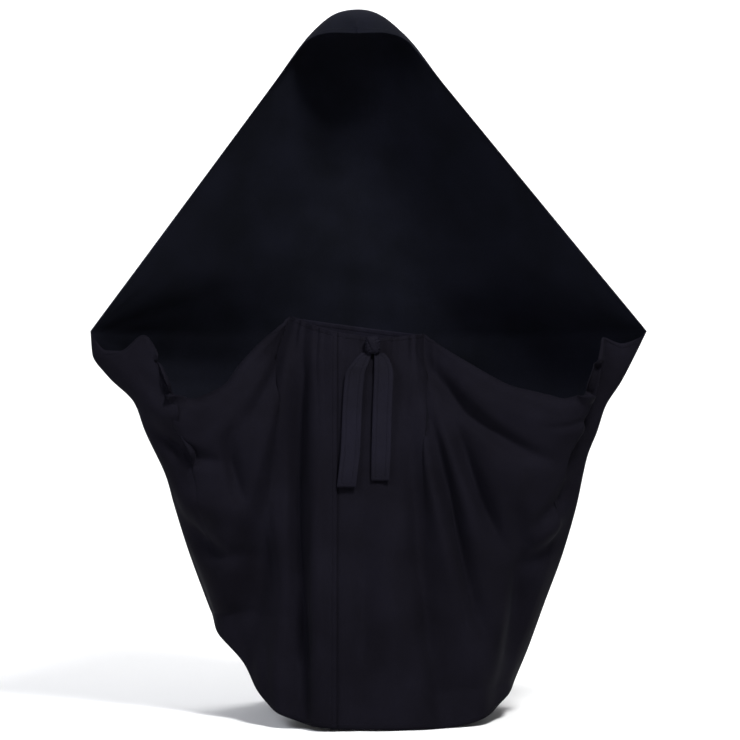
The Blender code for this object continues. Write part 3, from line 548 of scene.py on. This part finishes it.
def crepe(name, dark, light, roughness, sheen, grain):
    """Crepe for one piece: colour between two near blacks by broad soft patches, a fine crinkle and long
    pebbles as bump, and a stitched line beside the free edges from the attribute."""
    made = bpy.data.materials.new(name)
    made.use_nodes = True
    tree = made.node_tree
    shader = tree.nodes["Principled BSDF"]
    shader.inputs["Metallic"].default_value = 0.0
    shader.inputs["Roughness"].default_value = roughness
    shader.inputs["IOR"].default_value = 1.46
    shader.inputs["Specular IOR Level"].default_value = 0.04
    shader.inputs["Sheen Weight"].default_value = sheen
    shader.inputs["Sheen Roughness"].default_value = 0.42
    shader.inputs["Sheen Tint"].default_value = linear("#9aa0b4")
    where = add_node(tree, "ShaderNodeTexCoord").outputs["Object"]
    patches = add_node(tree, "ShaderNodeTexNoise", [("Vector", where)], in_Scale=9.0, in_Detail=3.0)
    crinkle = add_node(
        tree,
        "ShaderNodeTexNoise",
        [("Vector", where)],
        in_Scale=1000 / GRAIN_MM,
        in_Detail=2.0,
        in_Roughness=0.6,
    )
    mixed = add_node(
        tree,
        "ShaderNodeMath",
        [(0, patches.outputs["Fac"]), (1, crinkle.outputs["Fac"])],
        operation="MULTIPLY",
    )
    ramp = add_node(tree, "ShaderNodeValToRGB", [("Fac", mixed.outputs[0])])
    ramp.color_ramp.elements[0].position, ramp.color_ramp.elements[0].color = 0.12, linear(dark)
    ramp.color_ramp.elements[1].position, ramp.color_ramp.elements[1].color = 0.42, linear(light)
    way = add_node(tree, "ShaderNodeUVMap", uv_map="cloth_metres").outputs["UV"]
    stretch = (1000 / PEBBLE_MM[0], 1000 / PEBBLE_MM[1], 1)
    stretched = add_node(tree, "ShaderNodeVectorMath", [(0, way)], operation="MULTIPLY", in_1=stretch)
    pebbles = add_node(
        tree,
        "ShaderNodeTexNoise",
        [("Vector", stretched.outputs[0])],
        in_Scale=1.0,
        in_Detail=1.0,
        in_Distortion=0.6,
    )
    far = add_node(tree, "ShaderNodeAttribute", attribute_name="to_edge").outputs["Fac"]
    seam = edge_line(tree, far, way)
    grainy = add_node(
        tree,
        "ShaderNodeMath",
        [(0, crinkle.outputs["Fac"]), (2, pebbles.outputs["Fac"])],
        operation="MULTIPLY_ADD",
        in_1=0.8,
    )
    fine = add_node(
        tree, "ShaderNodeBump", [("Height", grainy.outputs[0])], in_Strength=grain, in_Distance=0.0004
    )
    turned = add_node(
        tree,
        "ShaderNodeBump",
        [("Height", seam.outputs[0]), ("Normal", fine.outputs["Normal"])],
        in_Strength=0.9,
        in_Distance=0.0012,
    )
    tree.links.new(shader.inputs["Normal"], turned.outputs["Normal"])
    tree.links.new(shader.inputs["Base Color"], ramp.outputs["Color"])
    return made


def edge_line(tree, far, way):
    """The turned edge: the cloth is double out to the hem's width, so it stands a little higher there,
    and a dashed groove of stitches lies just inside it."""
    doubled = add_node(
        tree,
        "ShaderNodeMapRange",
        [("Value", far)],
        in_1=(HEM_MM - 0.8) / 1000,
        in_2=HEM_MM / 1000,
        in_3=0.6,
        in_4=0.0,
    )
    dash = add_node(tree, "ShaderNodeVectorMath", [(0, way)], operation="SCALE", in_Scale=1000 / STITCH_MM)
    dots = add_node(tree, "ShaderNodeTexChecker", [("Vector", dash.outputs[0])], in_Scale=1.0)
    line = add_node(
        tree, "ShaderNodeMath", [(0, far)], operation="COMPARE", in_1=(HEM_MM - 2.2) / 1000, in_2=0.0007
    )
    stitch = add_node(
        tree, "ShaderNodeMath", [(0, line.outputs[0]), (1, dots.outputs["Fac"])], operation="MULTIPLY"
    )
    heights = [(0, doubled.outputs[0]), (1, stitch.outputs[0])]
    return add_node(tree, "ShaderNodeMath", heights, operation="SUBTRACT")


MANTLE_CREPE = crepe("woven_polyester_crepe", "#08090e", "#0e0f17", 0.85, 0.008, 0.35)
SKIRT_CREPE = crepe("woven_polyester_crepe_skirt", "#08070c", "#0e0d14", 0.85, 0.008, 0.35)
# The tie's two near blacks are lighter than the skirt's: painted light on the same cloth.
TIE_CREPE_PAINTED_LIGHTER = crepe("pressed_crepe_tie_painted_lighter", "#0b0a10", "#12111a", 0.75, 0.012, 0.25)
print("materials", [m.name for m in (MANTLE_CREPE, SKIRT_CREPE, TIE_CREPE_PAINTED_LIGHTER)])

# %% [markdown]
# ## The mantle
#
# On the real garment this is most of the cloth: about a half circle whose straight edge frames the face
# and runs out to both hands. A cloth simulation could drape it, but the lines that the hands pull tight
# are known, so the sheet is built from them. Each row leaves the border with a pull, swings round the
# back and meets its other half there, level. Long folds then stand out towards the hem.

# %% Rows of the mantle
OVER_HEAD_ROWS = 100
SIDE_ROWS = 80
BACK_COLUMNS = 176


def mantle_surface():
    """Two cubic arcs a row, from each border to the middle of the back, with the pulls of the table."""
    over_head = np.linspace(0, 1, OVER_HEAD_ROWS + 1) ** 1.35
    edges = np.concatenate([over_head, 1 + np.linspace(0, 1, SIDE_ROWS + 1)[1:]])[:, None]
    t = np.linspace(0, 1, BACK_COLUMNS // 2 + 1)[None, :, None]
    middle = spine(read(MANTLE_ROWS, 1, edges[:, 0]))[:, None, :]
    sides = []
    for half in HALVES.values():
        start = border(half, edges)
        width = np.abs(start[..., :1])
        out, back, up, level = (read(MANTLE_ROWS, i, edges)[..., None] * width for i in (2, 3, 4, 5))
        leave = start + np.concatenate([half["way"] * out, back, up], axis=-1)
        arrive = middle + np.concatenate([half["way"] * level, 0 * level, 0 * level], axis=-1)
        near = start * (1 - t) ** 3 + 3 * leave * t * (1 - t) ** 2
        arc = near + 3 * arrive * t**2 * (1 - t) + middle * t**3
        sides.append(arc)
    return np.concatenate([sides[0], sides[1][:, -2::-1]], axis=1), edges


def mantle_folds(grid, edges):
    """Long folds that grow from the shoulder blades to the hem, pleats that fan out from each hand, and
    shallow dents. All of them die away at the borders."""
    across = np.linspace(0, 1, grid.shape[1])[None, :]
    down = edges / 2
    stand = np.zeros(grid.shape[:2])
    for place, lean, width, depth, starts in BACK_FOLDS:
        off = (across - place - lean * (1 - down)) / width
        stand += FOLD_DEPTH * depth * np.exp(-(off**2)) * eased((down - starts) / (1 - starts))
    for half, seed in ((HALVES["left"], 3), (HALVES["right"], 4)):
        away = grid - side_line(half, 0.02)
        reach = np.linalg.norm(away, axis=2)
        turn = np.arctan2(away[..., 2], np.hypot(away[..., 0], away[..., 1]))
        pleats = np.sin(turn * 17 + seed) + 0.6 * np.sin(turn * 31 + 2 * seed)
        stand += 0.0045 * pleats * np.exp(-reach / 0.16) * eased(reach / 0.05)
    stand += 0.0012 * dents(grid[..., 0], grid[..., 2], 0.12, 11)
    fade = np.sin(np.pi * across) ** 0.7 * eased(edges / 0.10)
    return grid + (stand * fade)[..., None] * normals_of(grid)


mantle_grid = mantle_folds(*mantle_surface())
mantle_grid[:, 0, 1] += SEAM_GAP
mantle_grid[:, -1, 1] += SEAM_GAP
mantle = cloth_piece("mantle_cloth", mantle_grid, CLOTH_THICKNESS, edges="lrb", pole=True)
mantle.data.materials.append(MANTLE_CREPE)

# %% [markdown]
# ## The skirt front
#
# Below the hands the cloth closes in front. Its upper edge is pulled down by its own weight into a swag
# and rolls inwards, because a free edge of limp cloth curls. The sheet is worked out in three steps: a
# smooth body between the side, the lap and the hem, then the folds along their paths, and last the
# rolled rim on top.

# %% Body of a skirt half
SWAG_COLUMNS = 110
WAIST_COLUMNS = 44
BODY_ROWS = 120
ROLL_ROWS = 14


def rim_columns(half):
    """Points of the rim from the hand along the swag and round the waist to the lap, with how far across
    the skirt each lies, its roll and its turn."""
    rim = half["rim"]
    rows = np.linspace(0, len(rim) - 1, SWAG_COLUMNS + 1)
    way, sag, bow, across, roll, turn = (through(np.arange(len(rim)), rim[:, i], rows) for i in range(6))
    hand = side_line(half, 0.0)
    end_turn = 0.5 + half["way"] * (0.5 - WAIST_END_TURN)
    lap_turn = np.arccos(-half["lap"] / WAIST_HALF_WIDTH) / np.pi
    off_waist = BAND_THICKNESS + 4 * SEAM_GAP
    swag = hand + (on_waist(end_turn, off_waist) - hand) * way[:, None]
    swag[:, 1] -= SWAG_FORWARD * bow
    swag[:, 2] -= SWAG_DROP * sag
    share = np.linspace(0, 1, WAIST_COLUMNS + 1)[1:]
    waist = on_waist(end_turn + (lap_turn - end_turn) * share, off_waist)
    points = np.concatenate([swag, waist])
    across = np.concatenate([across, across[-1] + (1 - across[-1]) * share])
    roll = np.concatenate([roll, np.full(WAIST_COLUMNS, roll[-1])])
    turn = np.concatenate([turn, np.full(WAIST_COLUMNS, turn[-1])])
    return points, across, roll, turn


def lap_line(half, z):
    """The lap's sideways and forward place at a height."""
    top = waist_drop_at(half["lap"])
    fall = np.clip((-z - top) / (FLOOR_DROP - top), 0, 1)
    y = -WAIST_HALF_DEPTH - (HEM_FRONT - WAIST_HALF_DEPTH) * read(LAP_LINE, 1, fall)
    return np.full_like(z, half["lap"]), y


def skirt_body(half):
    """Each column keeps its share of the way between the side and the lap at its height, and bows
    forward in between. Near the rim it is drawn to the rim, near the hem to the hem."""
    rim, g, _, _ = rim_columns(half)
    fall = (np.linspace(0, 1, BODY_ROWS + 1) ** 1.2)[:, None]
    corner = side_line(half, 1.0)
    hem_x = corner[0] + (half["lap"] - corner[0]) * read(half["hem"], 1, g)
    hem_y = -HEM_FRONT * read(half["hem"], 3, g)
    hem_z = -FLOOR_DROP + half["rise"] * (1 - read(half["hem"], 2, g))
    z = rim[None, :, 2] + (hem_z - rim[None, :, 2]) * fall

    def between(z):
        side = side_line(half, np.clip((-z - HAND_DROP) / (FLOOR_DROP - half["rise"] - HAND_DROP), 0, 1))
        lap_x, lap_y = lap_line(half, z)
        round_side = np.sqrt(np.clip(1 - (1 - np.clip(g / 0.35, 0, 1)) ** 2, 0, 1))
        low = np.clip((-z - HAND_DROP) / (FLOOR_DROP - HAND_DROP), 0, 1)
        belly = BELLY * round_side * (1 - eased((g - 0.3) / 0.7)) * (1 - 0.6 * low)
        x = side[..., 0] + (lap_x - side[..., 0]) * g
        return x, side[..., 1] + (lap_y - side[..., 1]) * eased(g) - belly

    x, y = between(z)
    rim_x, rim_y = between(np.broadcast_to(rim[None, :, 2], z.shape))
    end_x, end_y = between(np.broadcast_to(hem_z, z.shape))
    x = x + (rim[None, :, 0] - rim_x) * (1 - fall) ** 3 + (hem_x - end_x) * fall**2.2
    y = y + (rim[None, :, 1] - rim_y) * (1 - fall) ** 3 + (hem_y - end_y) * fall**2.2
    body = np.stack([x, y, z], axis=-1)
    body[:, 0] = side_line(half, fall[:, 0])
    return body, g, fall


# %% Folds of a skirt half
def folds_on(grid, half):
    """How far each point stands forward: for each fold, a bell across the distance to its path, which
    dies away towards both of its ends. A sharper fold has a bell to a higher power. The path is a bent
    line of short straight pieces, and the distance is to the nearest place on any of them."""
    flat = grid[..., [0, 2]].reshape(-1, 1, 2)
    t = np.linspace(0, 1, 33)[:, None]
    stand = np.zeros(len(flat))
    for fold in half["folds"]:
        sizes = np.array([half["way"] * half["reach"], -FLOOR_DROP])
        a, b, c = (np.array(fold[i : i + 2]) * sizes for i in (0, 2, 4))
        path = a * (1 - t) ** 2 + 2 * b * t * (1 - t) + c * t**2
        step = np.diff(path, axis=0)
        share = np.clip(((flat - path[:-1]) * step).sum(axis=2) / (step**2).sum(axis=1), 0, 1)
        away = np.linalg.norm(flat - path[:-1] - share[..., None] * step, axis=2)
        nearest = away.argmin(axis=1)
        along = (nearest + share[np.arange(len(flat)), nearest]) / len(step)
        off = away.min(axis=1) / (fold[6] * half["reach"])
        stand += fold[7] * np.sin(np.pi * (0.06 + 0.9 * along)) ** 0.8 * np.exp(-fold[8] * off**2)
    return FOLD_DEPTH * stand.reshape(grid.shape[:2])


def even_out(values, width):
    """Each row of vectors as the mean of its neighbours on both sides, this many in all."""
    ends = width // 2
    wide = np.pad(values, ((ends, ends), (0, 0)), mode="edge")
    sums = np.cumsum(np.concatenate([np.zeros((1, 3)), wide]), axis=0)
    return (sums[width:] - sums[:-width]) / width


def gathers(body, across):
    """Small pleats below the waist, where the cloth is drawn up on its band: waves across the skirt with
    uneven spacing, which die away within a hand's length of the waist."""
    below = np.clip(body[:1, :, 2] - body[..., 2], 0, None)
    x = body[:1, :, 0] + 0.004 * np.sin(body[:1, :, 0] * 150)
    pleats = np.sin(x * 2 * np.pi / 0.021) + 0.5 * np.sin(x * 2 * np.pi / 0.034 + 1.3)
    at_waist = eased((across - 0.52) / 0.08)[None, :]
    return 0.0026 * pleats * np.exp(-below / 0.10) * at_waist


def skirt_surface(half, seed):
    """The body with its folds and dents, and above it the rim, rolled inwards about a line behind it:
    front + radius x ((cos a - 1) x outwards + sin a x upwards)."""
    body, across, fall = skirt_body(half)
    _, _, roll, turn = rim_columns(half)
    fade = eased(across / 0.08)[None, :] * (1 - 0.8 * eased((across - 0.86) / 0.14)[None, :])
    fade = fade * (0.15 + 0.85 * eased(fall / 0.12))
    stand = (folds_on(body, half) + 0.0022 * dents(body[..., 0], 0.5 * body[..., 2], 0.09, seed)) * fade
    stand = stand + gathers(body, across) * (1 - eased((across - 0.97) / 0.03))[None, :]
    body = body + stand[..., None] * normals_of(body)
    body[:, :, 1] -= half["lap_stand"] * eased((across - 0.6) / 0.25)[None, :]
    front, out = body[0], even_out(normals_of(body)[0], 15)
    along = even_out(np.gradient(front, axis=0), 15)
    along /= np.linalg.norm(along, axis=1, keepdims=True)
    up = np.cross(along, out)
    up *= np.sign(up[:, 2:3])
    up /= np.linalg.norm(up, axis=1, keepdims=True)
    angle = (2 * np.pi * turn[None, :] * np.linspace(1, 0, ROLL_ROWS + 1)[:-1, None])[..., None]
    rolled = front + ROLL_RADIUS * roll[None, :, None] * ((np.cos(angle) - 1) * out + np.sin(angle) * up)
    grid = np.concatenate([rolled, body])
    grid[:, 0, 1] -= SEAM_GAP
    return grid


left_grid = skirt_surface(HALVES["left"], 21)
right_grid = skirt_surface(HALVES["right"], 22)
left_skirt = cloth_piece("skirt_left_cloth", left_grid, CLOTH_THICKNESS, edges="trb")
right_skirt = cloth_piece("skirt_right_cloth", right_grid, CLOTH_THICKNESS, edges="trb")
for piece in (left_skirt, right_skirt):
    piece.data.materials.append(SKIRT_CREPE)

# %% [markdown]
# ## The waist band
#
# A flat band of the same cloth runs round the waist behind the skirt's upper edge and carries it. It is
# a ring of points on the waist's ellipse, a few rows high, puckered a little where it is stitched.


# %% Band round the waist
def band_surface():
    """The waist's ellipse, a few rows high, with small even puckers that stand inwards."""
    turns = np.linspace(0, 2, 241)[:-1]
    ring = on_waist(turns, 0.0)
    drop = np.linspace(0, BAND_HEIGHT, 9)[:, None]
    pucker = -0.0006 * (1 + np.sin(turns * 90))[None, :] * np.sin(np.pi * drop / BAND_HEIGHT)
    outward = ring * np.array([1, 1, 0])
    outward /= np.linalg.norm(outward, axis=1, keepdims=True)
    return ring[None] - drop[..., None] * np.array([0, 0, 1]) + pucker[..., None] * outward[None]


waist_band = cloth_piece("waist_band_cloth", band_surface(), BAND_THICKNESS, edges="tb", closed=True)
waist_band.data.materials.append(TIE_CREPE_PAINTED_LIGHTER)

# %% [markdown]
# ## The tie
#
# The tie is a strip of the cloth folded double and pressed, so it hangs flat and straight. Its ends come
# out from under the knot, bend back to the skirt and follow it down. The knot is a pillow of cloth with
# one strip wrapped over it.

# %% Tie ends
TIE_WIDTH = 0.043
TIE_THICKNESS = 0.0016
KNOT_ASIDE = 0.036
LEFT_TIE = np.array([
    # share of the length, place aside of the knot's middle, share of the full width
    (0.00, -0.32, 0.55),
    (0.07, -0.62, 0.85),
    (0.16, -0.92, 1.00),
    (0.40, -1.06, 1.00),
    (0.70, -1.14, 1.00),
    (1.00, -1.36, 0.98),
])  # fmt: skip
RIGHT_TIE = np.array([
    (0.00, 0.32, 0.55),
    (0.07, 0.50, 0.85),
    (0.16, 0.56, 1.00),
    (0.40, 0.50, 1.00),
    (0.70, 0.44, 1.00),
    (1.00, 0.38, 0.94),
])  # fmt: skip
skirt_points = np.concatenate([left_grid.reshape(-1, 3), right_grid.reshape(-1, 3)])
knot_low, knot_high = (np.array(corner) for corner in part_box("tie_knot"))


def skirt_front_at(x, z, aside, along):
    """How far forward the skirt's outside stands round a point seen from the front."""
    near = (np.abs(skirt_points[:, 0] - x) < aside) & (np.abs(skirt_points[:, 2] - z) < along)
    return skirt_points[near, 1].min() - CLOTH_THICKNESS


def tie_surface(node, route, seed):
    """A strip with its middle on the table's route, as far forward as the skirt stands beside it, and a
    slow wave and a slight cup across its width."""
    low, high = (np.array(corner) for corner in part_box(node))
    down = np.linspace(0, 1, 61)
    z = high[2] + (low[2] - high[2]) * down
    aside = KNOT_ASIDE + TIE_WIDTH * read(route, 1, down)
    half_wide = TIE_WIDTH / 2 * read(route, 2, down)
    lies = np.array([skirt_front_at(x, h, 0.6 * TIE_WIDTH, 0.012) for x, h in zip(aside, z)])
    lies = np.minimum.reduce([np.roll(np.pad(lies, 3, mode="edge"), k)[3:-3] for k in range(-3, 4)])
    lies = np.convolve(np.pad(lies, 4, mode="edge"), np.ones(9) / 9, mode="valid")
    start = 0.5 * (knot_low[1] + knot_high[1])
    y = start + (lies - 0.0032 - start) * eased(down / 0.10)
    side = np.linspace(-1, 1, 13)[None, :]
    wave = 0.0009 * np.sin(down * 9 + seed)[:, None] * side - 0.0012 * side**2 * eased(down / 0.3)[:, None]
    x = aside[:, None] + half_wide[:, None] * side
    return np.stack([x, y[:, None] + wave, z[:, None] + 0 * side], axis=-1)


left_tie_grid = tie_surface("tie_end_left", LEFT_TIE, 0.5)
right_tie_grid = tie_surface("tie_end_right", RIGHT_TIE, 2.0)
tie_left = cloth_piece("tie_left_cloth", left_tie_grid, TIE_THICKNESS, edges="lrb")
tie_right = cloth_piece("tie_right_cloth", right_tie_grid, TIE_THICKNESS, edges="lrb")


# %% Knot
def knot_surface():
    """A rounded pillow: a superellipse round, drawn in at the top and bottom, with a raised strip that
    slants over it and creases beside the strip."""
    middle = 0.5 * (knot_low + knot_high)
    half = 0.5 * (knot_high - knot_low)
    tilt = np.linspace(0.0, np.pi, 41)[:, None]
    turn = np.linspace(0, 2 * np.pi, 73)[:-1][None, :]
    round_x = np.sign(np.cos(turn)) * np.abs(np.cos(turn)) ** 0.7
    round_y = np.sign(np.sin(turn)) * np.abs(np.sin(turn)) ** 0.8
    ring = np.abs(np.sin(tilt)) ** 0.6
    height = np.sign(np.cos(tilt)) * np.abs(np.cos(tilt)) ** 0.75
    slant = (round_x * ring + 0.5 * height) / 0.42
    strip = np.exp(-(slant**4))
    crease = np.exp(-((np.abs(slant) - 1.15) ** 2) / 0.03)
    pleats = 0.05 * np.sin(16 * (height - 0.35 * round_x)) * (1 - strip)
    size = 0.90 + 0.08 * strip - 0.10 * crease + pleats
    x = middle[0] + half[0] * round_x * ring * size * (0.86 + 0.14 * np.abs(height))
    y = middle[1] + half[1] * round_y * ring * size
    z = middle[2] + half[2] * height * (0.97 + 0 * turn)
    return np.stack([x, y, z], axis=-1)


def closed_piece(name, grid):
    """A closed form from rings of points between two poles."""
    import bmesh

    rows, columns = grid.shape[:2]
    index = np.arange(rows * columns).reshape(rows, columns)
    beside = np.roll(index, -1, axis=1)
    faces = np.stack([index[:-1], index[1:], beside[1:], beside[:-1]], axis=-1).reshape(-1, 4)
    mesh = bpy.data.meshes.new(name)
    mesh.from_pydata(grid.reshape(-1, 3).tolist(), [], faces.tolist())
    shape = bmesh.new()
    shape.from_mesh(mesh)
    bmesh.ops.remove_doubles(shape, verts=shape.verts, dist=0.00002)
    bmesh.ops.recalc_face_normals(shape, faces=shape.faces)
    shape.to_mesh(mesh)
    shape.free()
    mesh.attributes.new("to_edge", "FLOAT", "POINT").data.foreach_set("value", np.ones(len(mesh.vertices)))
    mesh.uv_layers.new(name="cloth_metres")
    mesh.shade_smooth()
    made = bpy.data.objects.new(name, mesh)
    bpy.context.scene.collection.objects.link(made)
    print(name, len(mesh.polygons), "faces")
    return made


knot = closed_piece("tie_knot_cloth", knot_surface())
for piece in (tie_left, tie_right, knot):
    piece.data.materials.append(TIE_CREPE_PAINTED_LIGHTER)

# %% [markdown]
# ## What each piece stands for
#
# Each cloth piece replaces the plain node of the measured model in the same place, and rides on its body.
# Every sheet's row lists the size that it was cut to before it was hung.

PIECES = (
    # piece, node, slot, flat size, flat area, how it is held, what it rests on
    (mantle, "mantle", "mantle", (2.4, 1.85), 1.95, "draped", []),
    (left_skirt, "front_panel_left", "skirt", (0.75, 0.85), 0.42, "gathered", ["waist_band_cloth"]),
    (right_skirt, "front_panel_right", "skirt", (0.85, 0.95), 0.58, "gathered", ["waist_band_cloth"]),
    (waist_band, "waist_band", "tie", (0.85, 0.030), None, "folded", []),
    (tie_left, "tie_end_left", "tie", (0.043, 0.30), None, "hung", ["tie_knot_cloth"]),
    (tie_right, "tie_end_right", "tie", (0.043, 0.28), None, "hung", ["tie_knot_cloth"]),
)
for piece, node, slot, flat, area, held, rests in PIECES:
    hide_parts(node)
    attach(piece, "root")
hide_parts("tie_knot")
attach(knot, "root")

# %% [markdown]
# ## Floor and light
#
# Black cloth shows its folds only by the light that skims over them. A big soft lamp high on the right in
# front draws the ridges, a weaker one on the left keeps the shaded side readable, and the pale floor and
# the even surroundings do the rest.


# %% Floor
FLOOR_REACH = 9.0
FLOOR_CLEARANCE = 0.0015
WALL_FROM = 3.0
WALL_ROUND = 1.5
WALL_HEIGHT = 6.0


def floor_surface():
    """A flat floor that curves up far behind into a wall: a quarter circle between two straight runs."""
    turn = np.linspace(0, np.pi / 2, 17)
    run = np.concatenate([[-FLOOR_REACH], WALL_FROM + WALL_ROUND * np.sin(turn), [WALL_FROM + WALL_ROUND]])
    rise = np.concatenate([[0.0], WALL_ROUND * (1 - np.cos(turn)), [WALL_HEIGHT]])
    x = np.array([-FLOOR_REACH, FLOOR_REACH])[None, :]
    level = -FLOOR_DROP - FLOOR_CLEARANCE
    return np.stack([x + 0 * run[:, None], run[:, None] + 0 * x, level + rise[:, None] + 0 * x], axis=-1)


floor_grid = floor_surface()
floor_mesh = bpy.data.meshes.new("studio_floor")
floor_index = np.arange(floor_grid.shape[0] * 2).reshape(-1, 2)
floor_faces = np.stack(
    [floor_index[:-1, 0], floor_index[:-1, 1], floor_index[1:, 1], floor_index[1:, 0]], axis=-1
)
floor_mesh.from_pydata(floor_grid.reshape(-1, 3).tolist(), [], floor_faces.tolist())
floor_mesh.shade_smooth()
floor = bpy.data.objects.new("studio_floor", floor_mesh)
bpy.context.scene.collection.objects.link(floor)
floor_paint = bpy.data.materials.new("matt_studio_paper")
floor_paint.use_nodes = True
floor_paint.node_tree.nodes["Principled BSDF"].inputs["Base Color"].default_value = linear("#ececec")
floor_paint.node_tree.nodes["Principled BSDF"].inputs["Roughness"].default_value = 0.9
floor_mesh.materials.append(floor_paint)


# %% Lights
def soft_lamp(name, place, target, size, watts, colour):
    """A square lamp that faces a point."""
    data = bpy.data.lights.new(name, "AREA")
    data.shape = "SQUARE"
    data.size = size
    data.energy = watts
    data.color = linear(colour)[:3]
    lamp = bpy.data.objects.new(name, data)
    place = np.array(place, float)
    way = np.array(target, float) - place
    lamp.location = place
    tilt = np.arccos(-way[2] / np.linalg.norm(way))
    lamp.rotation_euler = (tilt, 0, np.arctan2(way[1], way[0]) - np.pi / 2)
    bpy.context.scene.collection.objects.link(lamp)
    return lamp


soft_lamp("key", (1.2, -2.6, 2.4), (0.05, 0, -0.75), 0.9, 300, "#ffffff")
soft_lamp("fill", (-2.4, -2.8, 1.2), (0, 0, -0.8), 1.4, 95, "#f2f5ff")
soft_lamp("wall", (0.0, 1.2, 3.4), (0, 4.4, 0.2), 2.4, 200, "#ffffff")
world = bpy.data.worlds.new("studio")
bpy.context.scene.world = world
world.use_nodes = True
world.node_tree.nodes["Background"].inputs["Color"].default_value = linear("#f4f5f8")
world.node_tree.nodes["Background"].inputs["Strength"].default_value = 0.20
bpy.context.scene.view_settings.view_transform = "Standard"
